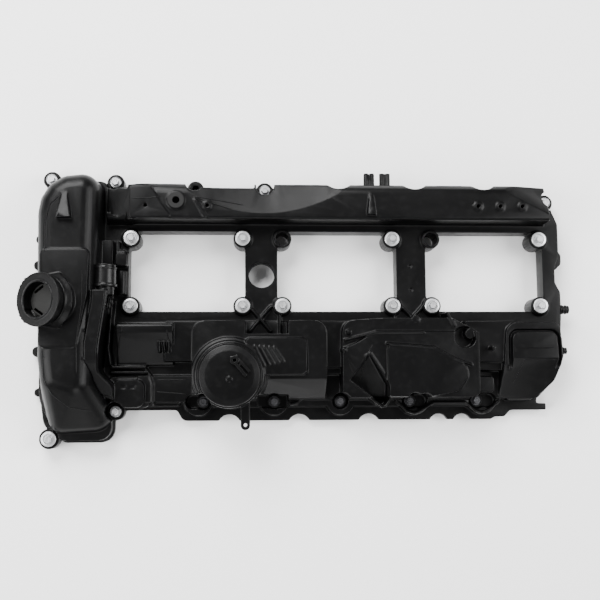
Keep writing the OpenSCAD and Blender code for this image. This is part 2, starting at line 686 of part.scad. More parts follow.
module pcv_piston() {
    color([0.75, 0.73, 0.66]) valve_frame() rotate_extrude() polygon([
        [0, 46], [3, 46], [3, 57.5], [12, 57.5], [12, 59], [5, 59], [5, 61.2], [18, 61.2], [18, 62.7],
        [5.7, 62.7], [5.7, 64.5], [9, 64.5], [9, 65.6], [0, 65.6]]);
}

// A closed coil: n turns of round wire with flat end turns
module pcv_spring() {
    turns = 4.5;
    steps = 18;
    sides = 8;
    n = turns * steps;
    wire = 0.6;
    points = [for (k = [0 : n]) let (a = k * 360 / steps, z = 53.3 + (60.3 - 53.3) * k / n)
        for (j = [0 : sides - 1]) let (b = j * 360 / sides, r = 14.6 + wire * cos(b))
            [r * cos(a), r * sin(a), z + wire * sin(b)]];
    sides_of = [for (k = [0 : n - 1]) for (j = [0 : sides - 1]) let (q = (j + 1) % sides)
        each [[k * sides + j, (k + 1) * sides + j, (k + 1) * sides + q],
              [k * sides + j, (k + 1) * sides + q, k * sides + q]]];
    ends = [[for (j = [0 : sides - 1]) j], [for (j = [sides - 1 : -1 : 0]) n * sides + j]];
    color([0.8, 0.8, 0.82]) valve_frame() polyhedron(points = points, faces = concat(sides_of, ends));
}

module pcv_valve_seat() {
    color([0.75, 0.73, 0.66]) valve_frame() {
        difference() {
            union() {
                translate([0, 0, 40]) cylinder(r = 12 - gap, h = 13);
                translate([0, 0, cup_floor + gap]) cylinder(r = 18, h = 2);
                translate([0, 0, 44]) cylinder(r = 10, h = 10);
            }
            translate([0, 0, 30]) cylinder(r = 9, h = 30);
        }
        difference() {
            union() {
                translate([0, 0, 43]) cylinder(r = 5, h = 6);
                for (turn = [0, 120, 240]) rotate([0, 0, turn]) translate([3.5, -1, 43]) cube([6.5, 2, 6]);
            }
            translate([0, 0, 30]) cylinder(r = 3.1, h = 30);
        }
    }
}

// ---- oil separator ----

module separator_plate() {
    p = [[-128, -96, 6], [-128, -22, 8], [203, -22, 8], [203, -96, 6]];
    color([0.2, 0.2, 0.21]) difference() {
        union() {
            prism(p, plate_z - 2.5, plate_z);
            translate([0, 0, plate_z - 1]) linear_extrude(valley_h - wall - gap - plate_z + 1) difference() {
                outline(p);
                outline(p, 2);
            }
            // Hinge ears of the drain flap
            for (s = [-1, 1]) difference() {
                translate([drain_at[0] + s * 8 - 1.2, drain_at[1] + 10, 17.6]) cube([2.4, 4.4, 5]);
                translate([drain_at[0] + s * 8 - 3, drain_at[1] + 12.2, 19.6]) rotate([0, 90, 0]) cylinder(r = 1.1, h = 6);
            }
        }
        // Inlets, drain and check valve ports
        for (x = [-118, -104]) translate([x, -60, 0]) cube([8, 26, 60]);
        for (x = [176, 188]) translate([x, -60, 0]) cube([8, 26, 60]);
        translate([drain_at[0], drain_at[1], 0]) cylinder(r = 6, h = 60);
        for (p = [boost_check_at, vacuum_check_at]) translate([p[0], p[1], 0]) cylinder(r = 8, h = 60);
    }
}

module impactor_plate() {
    color([0.2, 0.2, 0.21]) difference() {
        union() {
            translate([6, -78, plate_z + gap]) cube([2.2, 53, 30]);
            translate([-2, -78, plate_z + gap]) cube([9, 53, 2]);
        }
        for (y = [-70 : 8 : -30]) for (z = [33 : 8 : 49])
            translate([0, y, z]) rotate([0, 90, 0]) cylinder(r = 2.2, h = 20);
    }
}

module impactor_fleece() {
    color([0.85, 0.85, 0.8]) translate([8.2 + gap, -77, plate_z + gap]) cube([5, 51, 29]);
}

module oil_drain_flap() {
    color([0.2, 0.2, 0.21]) translate([drain_at[0], drain_at[1], 0]) {
        translate([-9.3, 12.2, 19.6]) rotate([0, 90, 0]) cylinder(r = 1.05, h = 18.6);
        translate([-6, 11.2, 18.8]) cube([12, 2, 1.6]);
        translate([-4, 0, 19]) cube([8, 12.2, 1.4]);
        translate([0, 0, 19.8]) cylinder(r = 8, h = 1.4);
    }
}

module check_seat(at) {
    color([0.75, 0.73, 0.66]) translate([at[0], at[1], 0]) {
        difference() {
            union() {
                translate([0, 0, 19]) cylinder(r = 8 - gap, h = 6);
                translate([0, 0, plate_z + gap]) cylinder(r = 11, h = 1.6);
                translate([0, 0, plate_z]) cylinder(r = 7, h = 3);
            }
            translate([0, 0, 10]) cylinder(r = 5.6, h = 30);
        }
        difference() {
            union() {
                translate([0, 0, 19]) cylinder(r = 3, h = 5);
                for (turn = [0 : 90 : 270]) rotate([0, 0, turn]) translate([2, -0.8, 19]) cube([4.4, 1.6, 5]);
            }
            translate([0, 0, 10]) cylinder(r = 1.6, h = 30);
        }
    }
}

module check_disc(at) {
    color([0.8, 0.5, 0.2]) translate([at[0], at[1], 0]) rotate_extrude() polygon([
        [0, 15.8], [2.3, 15.8], [2.3, 16.3], [1.55, 16.9], [1.55, plate_z + 3 + gap], [8.4, plate_z + 3 + gap],
        [8.4, plate_z + 4.6], [2, plate_z + 4.6], [0, plate_z + 5.4]]);
}

module boost_check_seat() {
    check_seat(boost_check_at);
}

module boost_check_disc() {
    check_disc(boost_check_at);
}

module vacuum_check_seat() {
    check_seat(vacuum_check_at);
}

module vacuum_check_disc() {
    check_disc(vacuum_check_at);
}

module reservoir_plate() {
    p = [[242, -104, 4], [242, -22, 8], [301, -22, 8], [301, -60, 4], [294, -88, 10], [282, -104, 5]];
    color([0.2, 0.2, 0.21]) {
        prism(p, plate_z - 2.5, plate_z);
        translate([0, 0, plate_z - 1]) linear_extrude(valley_h - wall - gap - plate_z + 1) difference() {
            outline(p);
            outline(p, 2);
        }
        for (x = [262, 284]) bar([x, -100], [x, -24], 2, plate_z - 6, plate_z - 1);
    }
}

// Where the hose stubs leave the end wall
stub_x = 317;

module vacuum_port_stubs() {
    color(black_plastic) for (p = vacuum_ports) translate([0, p[0], 20]) rotate([0, 90, 0]) {
        length = p[1] == 12 ? 12 : 8;
        difference() {
            union() {
                translate([0, 0, 307]) cylinder(r = 4 - gap, h = 12);
                translate([0, 0, stub_x]) cylinder(r = p[1] / 2 + 1, h = 2);
                translate([0, 0, stub_x]) cylinder(r = p[1] / 2 - 1, h = length);
                for (k = [1 : length / 4 - 1]) translate([0, 0, stub_x - 0.5 + k * 4])
                    cylinder(r1 = p[1] / 2, r2 = p[1] / 2 - 1, h = 2);
            }
            translate([0, 0, 300]) cylinder(r = 2.5, h = 60);
        }
    }
}

// ---- gaskets and seals ----

module perimeter_gasket() {
    color([0.2, 0.2, 0.2]) linear_extrude(base_z + groove_d - gap)
        gasket_ring_plan(3 + gap, gasket_w - 2 * gap) seal_plan();
}

module double_window_gasket() {
    color([0.2, 0.2, 0.2]) linear_extrude(base_z + groove_d - gap) difference() {
        dry_plan(false, 2.4 + gasket_w - gap);
        dry_plan(false, 2.4 + gap);
    }
}

module rear_window_gasket() {
    color([0.2, 0.2, 0.2]) linear_extrude(base_z + groove_d - gap) difference() {
        dry_plan(true, 2.4 + gasket_w - gap);
        dry_plan(true, 2.4 + gap);
    }
}

module sensor_bore_seal() {
    color([0.2, 0.2, 0.2]) translate([sensor_bore[0], sensor_bore[1], 0])
        tube(sensor_bore_r + 2 - gap, sensor_bore_r + 0.1, valley_h - 9 + gap, valley_h - 4 - gap);
}

module engine_cover_grommet() {
    color([0.2, 0.2, 0.2]) translate([cup_at[0], cup_at[1], 0]) difference() {
        union() {
            translate([0, 0, bulge_h - 11 + gap]) cylinder(r = cup_r - gap, h = 13.5);
            translate([0, 0, bulge_h + 1 + gap]) cylinder(r = cup_r + 1.4, h = 1.6);
        }
        translate([0, 0, bulge_h - 9]) cylinder(r = 4.2, h = 30);
        translate([0, 0, bulge_h - 5]) sphere(r = 5.6);
    }
}

// ---- fasteners: screw, steel sleeve and rubber grommet on a boss of height top ----

// Half the distance across the corners of an 8 mm hexagon
hex_r = 4.62;

module screw(top, flange, tall) {
    translate([0, 0, 1.6]) cylinder(r = screw_r, h = top + 2.5);
    translate([0, 0, top + 2 + gap]) cylinder(r = flange, h = 1.4);
    translate([0, 0, top + 3]) cylinder(r = 5.4, h = 1.4);
    translate([0, 0, top + 4]) cylinder(r = hex_r, h = tall, $fn = 6);
}

module sleeve(top, r) {
    tube(r, screw_r + gap, 1.5, top + 2);
}

module grommet(top, r_out, r_in) {
    tube(r_out - gap, r_in + gap, 2, top + 1.7);
    tube(r_out + 1.8, r_in + gap, top + gap, top + 1.7);
}

module screw_set(points, top, flange, tall) {
    color([0.8, 0.8, 0.82]) at_each(points) screw(top, flange, tall);
}

module sleeve_set(points, top, r) {
    color([0.7, 0.7, 0.72]) at_each(points) sleeve(top, r);
}

module grommet_set(points, top, r_out, r_in) {
    color([0.2, 0.2, 0.2]) at_each(points) grommet(top, r_out, r_in);
}

module window_screws() {
    screw_set(window_screws_at, window_boss_top, flange_r, 5);
}

module window_screw_sleeves() {
    sleeve_set(window_screws_at, window_boss_top, wide_sleeve);
}

module window_screw_grommets() {
    grommet_set(window_screws_at, window_boss_top, wide_bore, wide_sleeve);
}

module corner_screw() {
    screw_set([front_corner_screw], 22, flange_r, 5);
}

module corner_screw_sleeve() {
    sleeve_set([front_corner_screw], 22, wide_sleeve);
}

module corner_screw_grommet() {
    grommet_set([front_corner_screw], 22, wide_bore, wide_sleeve);
}

module edge_screws() {
    screw_set(edge_screws_at, edge_boss_top, small_flange_r, 4.4);
}

module edge_screw_sleeves() {
    sleeve_set(edge_screws_at, edge_boss_top, slim_sleeve);
}

module edge_screw_grommets() {
    grommet_set(edge_screws_at, edge_boss_top, slim_bore, slim_sleeve);
}

module pocket_screws() {
    screw_set(pocket_screws_at, pocket_floor, small_flange_r, 4.4);
}

module pocket_screw_sleeves() {
    sleeve_set(pocket_screws_at, pocket_floor, slim_sleeve);
}

module pocket_screw_grommets() {
    grommet_set(pocket_screws_at, pocket_floor, slim_bore, slim_sleeve);
}

cover_housing();
breather_duct_shell();
breather_hose_collar();
oil_filler_neck();
filler_splash_baffle();
pcv_cap();
pcv_vent_clip();
pcv_diaphragm();
pcv_piston();
pcv_spring();
pcv_valve_seat();
separator_plate();
impactor_plate();
impactor_fleece();
oil_drain_flap();
boost_check_seat();
boost_check_disc();
vacuum_check_seat();
vacuum_check_disc();
reservoir_plate();
vacuum_port_stubs();
perimeter_gasket();
double_window_gasket();
rear_window_gasket();
sensor_bore_seal();
window_screws();
window_screw_sleeves();
window_screw_grommets();
corner_screw();
corner_screw_sleeve();
corner_screw_grommet();
edge_screws();
edge_screw_sleeves();
edge_screw_grommets();
pocket_screws();
pocket_screw_sleeves();
pocket_screw_grommets();
engine_cover_grommet();
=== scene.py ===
"""Studio scene of a plastic cylinder head cover with its built-in crankcase breather."""

import json
import logging
import math
from collections.abc import Sequence
from dataclasses import dataclass, field
from enum import Enum

import bmesh
import bpy
from mathutils import Matrix, Vector
from mathutils.bvhtree import BVHTree


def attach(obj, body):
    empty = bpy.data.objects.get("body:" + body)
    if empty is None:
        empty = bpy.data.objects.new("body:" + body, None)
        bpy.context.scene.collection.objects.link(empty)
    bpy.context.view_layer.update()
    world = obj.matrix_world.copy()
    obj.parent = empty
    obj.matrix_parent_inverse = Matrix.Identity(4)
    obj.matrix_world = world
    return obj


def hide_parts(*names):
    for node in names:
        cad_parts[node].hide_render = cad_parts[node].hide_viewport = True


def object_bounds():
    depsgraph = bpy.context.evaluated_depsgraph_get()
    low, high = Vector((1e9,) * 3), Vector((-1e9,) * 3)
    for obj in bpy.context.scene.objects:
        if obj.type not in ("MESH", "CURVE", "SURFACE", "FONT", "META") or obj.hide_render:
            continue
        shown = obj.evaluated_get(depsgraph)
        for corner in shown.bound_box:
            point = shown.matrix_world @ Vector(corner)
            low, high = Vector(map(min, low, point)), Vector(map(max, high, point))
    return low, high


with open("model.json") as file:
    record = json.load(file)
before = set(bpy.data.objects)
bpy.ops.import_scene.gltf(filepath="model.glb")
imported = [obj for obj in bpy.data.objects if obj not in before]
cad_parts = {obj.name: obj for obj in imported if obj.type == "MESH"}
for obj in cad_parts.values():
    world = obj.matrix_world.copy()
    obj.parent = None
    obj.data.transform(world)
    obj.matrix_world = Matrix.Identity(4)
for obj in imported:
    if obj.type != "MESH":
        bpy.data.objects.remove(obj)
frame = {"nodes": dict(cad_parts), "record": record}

CAD_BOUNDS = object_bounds()
MM = 0.001
LOG = logging.getLogger("cover")


# ---- node material helpers ----


class Term:
    """A socket that takes part in shader maths as an ordinary number would."""

    def __init__(self, shader: "Shader", socket: bpy.types.NodeSocket) -> None:
        """Wrap a socket.

        Args:
            shader: the material's node maker.
            socket: the output socket that gives the value.
        """
        self.shader = shader
        self.socket = socket

    def _join(self, operation: str, first: object, second: object) -> "Term":
        """Add one Math node.

        Args:
            operation: the Math node's operation.
            first: its first value or term.
            second: its second value or term.

        Returns:
            The node's result.
        """
        return self.shader.add("ShaderNodeMath", {"operation": operation}, {0: first, 1: second})

    def __add__(self, other: object) -> "Term":
        """Sum."""
        return self._join("ADD", self, other)

    def __radd__(self, other: object) -> "Term":
        """Sum, with the plain number first."""
        return self._join("ADD", other, self)

    def __rsub__(self, other: object) -> "Term":
        """Difference, with the plain number first."""
        return self._join("SUBTRACT", other, self)

    def __mul__(self, other: object) -> "Term":
        """Product."""
        return self._join("MULTIPLY", self, other)

    def __rmul__(self, other: object) -> "Term":
        """Product, with the plain number first."""
        return self._join("MULTIPLY", other, self)


class Shader:
    """Makes the nodes of one material."""

    def __init__(self, name: str) -> None:
        """Start a material with a Principled shader.

        Args:
            name: the material's name.
        """
        self.material = bpy.data.materials.new(name)
        self.material.use_nodes = True
        self.tree = self.material.node_tree
        self.surface = self.tree.nodes["Principled BSDF"]
        place = self.tree.nodes.new("ShaderNodeTexCoord")
        self.place = Term(self, place.outputs["Object"])

    def add(self, kind: str, settings: dict, inputs: dict, output: int | str = 0) -> Term:
        """Add a node, set it and link it.

        Args:
            kind: the node's type.
            settings: its own properties.
            inputs: values or terms by socket.
            output: the socket that is wanted.

        Returns:
            The wanted output.
        """
        node = self.tree.nodes.new(kind)
        for key, value in settings.items():
            setattr(node, key, value)
        for key, value in inputs.items():
            self.feed(node.inputs[key], value)
        return Term(self, node.outputs[output])

    def feed(self, socket: bpy.types.NodeSocket, value: object) -> None:
        """Link a term to a socket, or set a plain value on it.

        Args:
            socket: the input socket.
            value: a term, a number or a colour.
        """
        if isinstance(value, Term):
            self.tree.links.new(value.socket, socket)
        else:
            socket.default_value = value

    def noise(self, size: float, detail: float = 3.0) -> Term:
        """A noise whose grains are about size metres across.

        Args:
            size: the grain's size in metres.
            detail: octaves.

        Returns:
            The noise's value, 0 to 1.
        """
        inputs = {"Vector": self.place, "Scale": 1.0 / size, "Detail": detail}
        return self.add("ShaderNodeTexNoise", {}, inputs)

    def ramp(self, term: Term, low: float, high: float) -> Term:
        """Stretch the span from low to high over 0 to 1.

        Args:
            term: the value to stretch.
            low: what becomes 0.
            high: what becomes 1.

        Returns:
            The stretched value, clamped.
        """
        inputs = {"Value": term, "From Min": low, "From Max": high}
        return self.add("ShaderNodeMapRange", {"clamp": True}, inputs)

    def blend(self, factor: Term, first: Sequence[float], second: Sequence[float]) -> Term:
        """Mix two colours.

        Args:
            factor: 0 for the first, 1 for the second.
            first: a colour.
            second: a colour.

        Returns:
            The mixed colour.
        """
        node = self.tree.nodes.new("ShaderNodeMix")
        node.data_type = "RGBA"
        self.feed(node.inputs["Factor"], factor)
        self.feed(node.inputs[6], (*first, 1.0))
        self.feed(node.inputs[7], (*second, 1.0))
        return Term(self, node.outputs[2])

    def bump(self, height: Term, depth: float) -> Term:
        """Turn a height into a normal.

        Args:
            height: the height, 0 to 1.
            depth: what 1 means, in metres.

        Returns:
            The normal.
        """
        inputs = {"Height": height, "Distance": depth, "Strength": 1.0}
        return self.add("ShaderNodeBump", {}, inputs, "Normal")

    def set(self, **sockets: object) -> bpy.types.Material:
        """Feed the Principled shader's sockets, given by name with underscores for spaces.

        Args:
            **sockets: values or terms.

        Returns:
            The finished material.
        """
        for key, value in sockets.items():
            self.feed(self.surface.inputs[key.replace("_", " ")], value)
        return self.material


# ---- finishes ----


@dataclass(frozen=True)
class Nylon:
    """Moulded plastic with a fine spark-eroded grain and flow marks."""

    name: str
    colour: tuple[float, float, float]
    roughness: float = 0.46
    grain: float = 0.9 * MM
    grain_depth: float = 0.05 * MM
    sheen: float = 0.13

    def make(self) -> bpy.types.Material:
        """Build the material."""
        shader = Shader(self.name)
        grain = shader.noise(self.grain, 2.0)
        flow = shader.noise(38 * MM, 4.0)
        dust = shader.ramp(shader.noise(7 * MM, 6.0), 0.52, 0.78)
        paler = [min(1.0, c * 1.8 + 0.001) for c in self.colour]
        return shader.set(
            Base_Color=shader.blend(dust * 0.45 + flow * 0.25, self.colour, paler),
            Roughness=flow * 0.16 + grain * 0.10 + dust * 0.08 + (self.roughness - 0.14),
            Normal=shader.bump(grain + flow * 0.6, self.grain_depth),
            Specular_IOR_Level=self.sheen)


@dataclass(frozen=True)
class Zinc:
    """Plated steel, with handling marks and dull patches."""

    name: str
    colour: tuple[float, float, float]
    roughness: float = 0.3

    def make(self) -> bpy.types.Material:
        """Build the material."""
        shader = Shader(self.name)
        patch = shader.ramp(shader.noise(3.2 * MM, 5.0), 0.35, 0.75)
        scratch = shader.noise(0.5 * MM, 2.0)
        dull = [c * 0.72 for c in self.colour]
        return shader.set(
            Base_Color=shader.blend(patch * 0.7, self.colour, dull),
            Metallic=1.0 - patch * 0.12,
            Roughness=patch * 0.16 + scratch * 0.1 + (self.roughness - 0.06),
            Normal=shader.bump(scratch, 0.02 * MM))


@dataclass(frozen=True)
class Rubber:
    """Dull moulded rubber with a bloom."""

    name: str
    colour: tuple[float, float, float]

    def make(self) -> bpy.types.Material:
        """Build the material."""
        shader = Shader(self.name)
        bloom = shader.ramp(shader.noise(2.5 * MM, 4.0), 0.4, 0.8)
        skin = shader.noise(0.4 * MM, 2.0)
        paler = [min(1.0, c * 1.7 + 0.002) for c in self.colour]
        return shader.set(
            Base_Color=shader.blend(bloom * 0.6, self.colour, paler),
            Roughness=0.62 + bloom * 0.2,
            Normal=shader.bump(skin, 0.03 * MM),
            Specular_IOR_Level=0.25)


@dataclass(frozen=True)
class Fleece:
    """Needled fibre."""

    name: str
    colour: tuple[float, float, float]

    def make(self) -> bpy.types.Material:
        """Build the material."""
        shader = Shader(self.name)
        fibre = shader.noise(0.7 * MM, 8.0)
        darker = [c * 0.6 for c in self.colour]
        return shader.set(
            Base_Color=shader.blend(shader.ramp(fibre, 0.3, 0.7), darker, self.colour),
            Roughness=0.85 + fibre * 0.1,
            Normal=shader.bump(fibre, 0.3 * MM))


class Finish(Enum):
    """The finishes, by the record's material slots."""

    COVER = Nylon("cover_plastic", (0.0013, 0.0013, 0.0014), 0.36)
    GLOSS = Nylon("gloss_plastic", (0.0015, 0.0015, 0.0016), 0.34, grain_depth=0.01 * MM, sheen=0.22)
    INNER = Nylon("inner_plastic", (0.012, 0.012, 0.0115), 0.6)
    VALVE = Nylon("valve_plastic", (0.62, 0.58, 0.48), 0.4)
    SILICONE = Rubber("silicone", (0.5, 0.17, 0.04))
    SEAL = Rubber("seal_rubber", (0.003, 0.003, 0.003))
    ZINC = Zinc("zinc_steel", (0.62, 0.625, 0.635), 0.36)
    DARK = Zinc("dark_steel", (0.085, 0.085, 0.09), 0.42)
    SLEEVE = Zinc("sleeve_steel", (0.55, 0.55, 0.57), 0.4)
    SPRING = Zinc("spring_steel", (0.6, 0.6, 0.62), 0.25)
    FLEECE = Fleece("fleece", (0.68, 0.67, 0.6))

    @property
    def material(self) -> bpy.types.Material:
        """The finish's material, made once."""
        return bpy.data.materials.get("made_" + self.value.name) or self._make()

    def _make(self) -> bpy.types.Material:
        """Build the material and give it its lasting name."""
        material = self.value.make()
        material.name = "made_" + self.value.name
        return material


def dress(piece: bpy.types.Object, finish: Finish) -> None:
    """Give a piece one finish all over.

    Args:
        piece: the object.
        finish: its finish.
    """
    piece.data.materials.clear()
    piece.data.materials.append(finish.material)


# ---- mesh helpers ----


def merged_copy(node: str) -> bmesh.types.BMesh:
    """Copy a CAD node's mesh and close its seams.

    Args:
        node: the node's name.

    Returns:
        The closed mesh.
    """
    mesh = bmesh.new()
    mesh.from_mesh(frame["nodes"][node].data)
    bmesh.ops.remove_doubles(mesh, verts=mesh.verts, dist=0.002 * MM)
    return mesh


def as_object(mesh: bmesh.types.BMesh, name: str) -> bpy.types.Object:
    """Turn a bmesh into an object at the origin.

    Args:
        mesh: the mesh, which is freed.
        name: the object's name.

    Returns:
        The new object.
    """
    data = bpy.data.meshes.new(name)
    mesh.to_mesh(data)
    mesh.free()
    piece = bpy.data.objects.new(name, data)
    bpy.context.scene.collection.objects.link(piece)
    return piece


def apply_modifiers(piece: bpy.types.Object) -> None:
    """Make a piece's modifiers part of its mesh.

    Args:
        piece: the object.
    """
    baked = bpy.data.meshes.new_from_object(piece.evaluated_get(bpy.context.evaluated_depsgraph_get()))
    piece.modifiers.clear()
    old = piece.data
    piece.data = baked
    baked.name = piece.name
    bpy.data.meshes.remove(old)


def shade_smooth(piece: bpy.types.Object) -> None:
    """Shade every face smoothly."""
    piece.data.shade_smooth()


@dataclass
class Moulding:
    """A plastic piece whose sharp CAD edges are rounded as a mould rounds them."""

    node: str
    finish: Finish
    voxel: float = 0.8 * MM
    most_triangles: int = 60_000
    smoothing: int = 3
    body: str = "cover"

    def source(self) -> bmesh.types.BMesh:
        """The mesh before its edges are rounded."""
        return merged_copy(self.node)

    def build(self) -> bpy.types.Object:
        """Round, thin and dress the piece.

        Returns:
            The finished piece, riding on its body.
        """
        piece = as_object(self.source(), self.node + "_moulded")
        remesh = piece.modifiers.new("Remesh", "REMESH")
        remesh.mode = "VOXEL"
        remesh.voxel_size = self.voxel * 1.0
        soften = piece.modifiers.new("Soften", "SMOOTH")
        soften.factor = 0.5
        soften.iterations = self.smoothing
        apply_modifiers(piece)
        triangles = 2 * len(piece.data.polygons)
        if triangles > self.most_triangles:
            thin = piece.modifiers.new("Thin", "DECIMATE")
            thin.ratio = self.most_triangles / triangles
            apply_modifiers(piece)
        shade_smooth(piece)
        dress(piece, self.finish)
        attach(piece, self.body)
        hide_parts(self.node)
        LOG.info("%s: %d triangles", piece.name, len(piece.data.polygons))
        return piece


def lathe(profile: Sequence[tuple[float, float]], steps: int) -> bmesh.types.BMesh:
    """Turn a profile that starts and ends on the Z axis into a closed body.

    Args:
        profile: (radius, height) pairs.
        steps: how many steps a turn has.

    Returns:
        The turned body.
    """
    mesh = bmesh.new()
    corners = [mesh.verts.new((radius, 0.0, height)) for radius, height in profile]
    edges = [mesh.edges.new(pair) for pair in zip(corners, corners[1:])]
    bmesh.ops.spin(mesh, geom=corners + edges, cent=(0.0, 0.0, 0.0), axis=(0.0, 0.0, 1.0),
                   angle=math.tau, steps=steps, use_merge=True)
    bmesh.ops.remove_doubles(mesh, verts=mesh.verts, dist=0.001 * MM)
    bmesh.ops.recalc_face_normals(mesh, faces=mesh.faces)
    return mesh


def add_to(whole: bmesh.types.BMesh, part: bmesh.types.BMesh, place: Matrix) -> None:
    """Put a part into a larger mesh.

    Args:
        whole: the larger mesh.
        part: the part, which is freed.
        place: where the part goes.
    """
    bmesh.ops.transform(part, matrix=place, verts=part.verts)
    carrier = bpy.data.meshes.new("carrier")
    part.to_mesh(carrier)
    part.free()
    whole.from_mesh(carrier)
    bpy.data.meshes.remove(carrier)


def centres(node: str, reach: float = 12 * MM) -> list[Vector]:
    """Find the middles of the like pieces that a CAD node is made of.

    Args:
        node: the node's name.
        reach: how far one piece's corners can lie from its first one.

    Returns:
        The middle of each piece's box in X and Y, with its top as Z.
    """
    piles: list[list[Vector]] = []
    for vertex in frame["nodes"][node].data.vertices:
        near = (pile for pile in piles if (pile[0].xy - vertex.co.xy).length < 2 * reach)
        pile = next(near, None)
        if pile is None:
            piles.append([vertex.co.copy()])
        else:
            pile.append(vertex.co.copy())
    middles = []
    for pile in piles:
        low = [min(point[axis] for point in pile) for axis in range(3)]
        high = [max(point[axis] for point in pile) for axis in range(3)]
        middles.append(Vector(((low[0] + high[0]) / 2, (low[1] + high[1]) / 2, high[2])))
    return middles


@dataclass
class Screws:
    """Flanged hexagon screws with rolled edges and a groove round each hexagon."""

    node: str
    finish: Finish
    flange: float
    tall: float
    hexagon: float = 4.62 * MM
    shank: float = 3.0 * MM
    shank_end: float = 1.6 * MM
    flange_rise: float = 1.7 * MM
    turn_steps: int = 40
    turn_per_metre: float = 40.0

    def build(self) -> bpy.types.Object:
        """Turn every screw of the node.

        Returns:
            The screws as one piece.
        """
        mesh = bmesh.new()
        rim = self.flange
        for middle in centres(self.node):
            seat = middle.z - self.tall - self.flange_rise
            top = middle.z - seat
            place = Matrix.Translation((middle.x, middle.y, 0.0))
            add_to(mesh, lathe([
                (0.0, self.shank_end), (self.shank, self.shank_end),
                (self.shank, seat), (rim - 0.4 * MM, seat),
                (rim, seat + 0.4 * MM), (rim, seat + 1.0 * MM), (rim - 0.5 * MM, seat + 1.4 * MM),
                (6.4 * MM, seat + self.flange_rise), (6.1 * MM, seat + 1.4 * MM),
                (5.9 * MM, seat + 0.3 * MM), (0.0, seat + 0.3 * MM)], self.turn_steps), place)
            spun = Matrix.Rotation(middle.x * self.turn_per_metre, 4, "Z")
            turned = Matrix.Translation((0.0, 0.0, seat)) @ spun
            add_to(mesh, lathe([
                (0.0, 0.2 * MM), (self.hexagon, 0.2 * MM), (self.hexagon, top - 0.7 * MM),
                (self.hexagon - 0.6 * MM, top), (2.6 * MM, top), (2.2 * MM, top - 0.4 * MM),
                (0.0, top - 0.4 * MM)], 6), place @ turned)
        piece = as_object(mesh, self.node + "_turned")
        dress(piece, self.finish)
        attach(piece, "cover")
        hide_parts(self.node)
        return piece


@dataclass
class Beads:
    """Round weld and mould lines that lie partly sunk in the cover's outside."""

    lines: Sequence[Sequence[tuple[float, float]]]
    radius: float = 0.75 * MM
    sunk: float = 0.25 * MM
    step: float = 1.6 * MM
    above: float = 200 * MM
    least_slope: float = 0.25
    widest_gap: float = 4 * MM
    least_gap: float = 0.2 * MM
    end_size: float = 0.35
    taper_points: int = 4

    def points(self, line: Sequence[tuple[float, float]], ground: BVHTree) -> list[tuple[Vector, Vector]]:
        """Walk along a line and drop to the surface.

        Args:
            line: corner points in millimetres.
            ground: the cover's surface.

        Returns:
            Places on the surface with the normals there.
        """
        found = []
        for start, end in zip(line, line[1:]):
            a, b = Vector(start) * MM, Vector(end) * MM
            count = max(2, round((b - a).length / self.step))
            for k in range(count + 1):
                at = a.lerp(b, k / count)
                high = Vector((at.x, at.y, self.above))
                hit, normal, _, _ = ground.ray_cast(high, Vector((0.0, 0.0, -1.0)))
                if hit is None or normal.z < self.least_slope:
                    continue
                gap = (found[-1][0] - hit).length if found else None
                if gap is None or self.least_gap < gap <= self.widest_gap:
                    found.append((hit, normal))
        return found

    def build(self, cover: bpy.types.Object) -> bpy.types.Object:
        """Make all beads as one piece.

        Args:
            cover: the finished cover.

        Returns:
            The beads.
        """
        ground = BVHTree.FromObject(cover, bpy.context.evaluated_depsgraph_get())
        curve = bpy.data.curves.new("mould_lines", "CURVE")
        curve.dimensions = "3D"
        curve.bevel_depth = self.radius
        curve.bevel_resolution = 2
        curve.use_fill_caps = True
        for line in self.lines:
            walk = self.points(line, ground)
            if len(walk) < 3:
                continue
            spline = curve.splines.new("POLY")
            spline.points.add(len(walk) - 1)
            for k, (point, (place, normal)) in enumerate(zip(spline.points, walk)):
                point.co = (*(place - normal * self.sunk), 1.0)
                point.radius = min(1.0, self.end_size + min(k, len(walk) - 1 - k) / self.taper_points)
        carrier = bpy.data.objects.new("carrier", curve)
        bpy.context.scene.collection.objects.link(carrier)
        baked = bpy.data.meshes.new_from_object(carrier.evaluated_get(bpy.context.evaluated_depsgraph_get()))
        bpy.data.objects.remove(carrier)
        mesh = bmesh.new()
        mesh.from_mesh(baked)
        bpy.data.meshes.remove(baked)
        bmesh.ops.remove_doubles(mesh, verts=mesh.verts, dist=0.001 * MM)
        bmesh.ops.recalc_face_normals(mesh, faces=mesh.faces)
        piece = as_object(mesh, "mould_lines")
        shade_smooth(piece)
        dress(piece, Finish.COVER)
        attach(piece, "cover")
        return piece


# Mould and weld lines in millimetres: scoop, dome, duct, valleys and separator chambers
LINES = [
    [(-133, 131), (-122, 118), (-112, 106)],
    [(-133, 131), (-115, 119), (-98, 110)],
    [(-133, 131), (-108, 122), (-86, 115)],
    [(-133, 131), (-100, 126), (-72, 121)],
    [(-206, 128), (-186, 128), (-170, 131)],
    [(-258, 40), (-258, 4), (-263, -46), (-262, -80)],
    [(-301, 60), (-301, 96), (-296, 116), (-284, 128)],
    [(-302, -52), (-300, -84), (-290, -104), (-272, -118), (-248, -122)],
    [(-215, -21), (-222, -62)],
    [(-163, -27), (-157, -68)],
    [(-224, -87), (-198, -87), (-191, -94), (-189, -112)],
    [(-51, -81), (-3, -80.5), (3, -75), (2, -41), (-3, -37), (-58, -38)],
    [(27, -73.7), (49, -72.3)],
    [(64, -90), (71, -60), (80, -45)],
    [(98, -106), (104, -80), (112, -60)],
    [(-176, -86), (-140, -86)],
    [(-176, -100), (-140, -103)],
    [(250, -50), (300, -50)],
    [(252, -92), (262, -64), (302, -64)],
    [(-205, 148), (-150, 146)],
    [(-20, 147), (20, 147)],
    [(62, 147), (110, 147)],
    [(158, 147), (196, 147)],
]


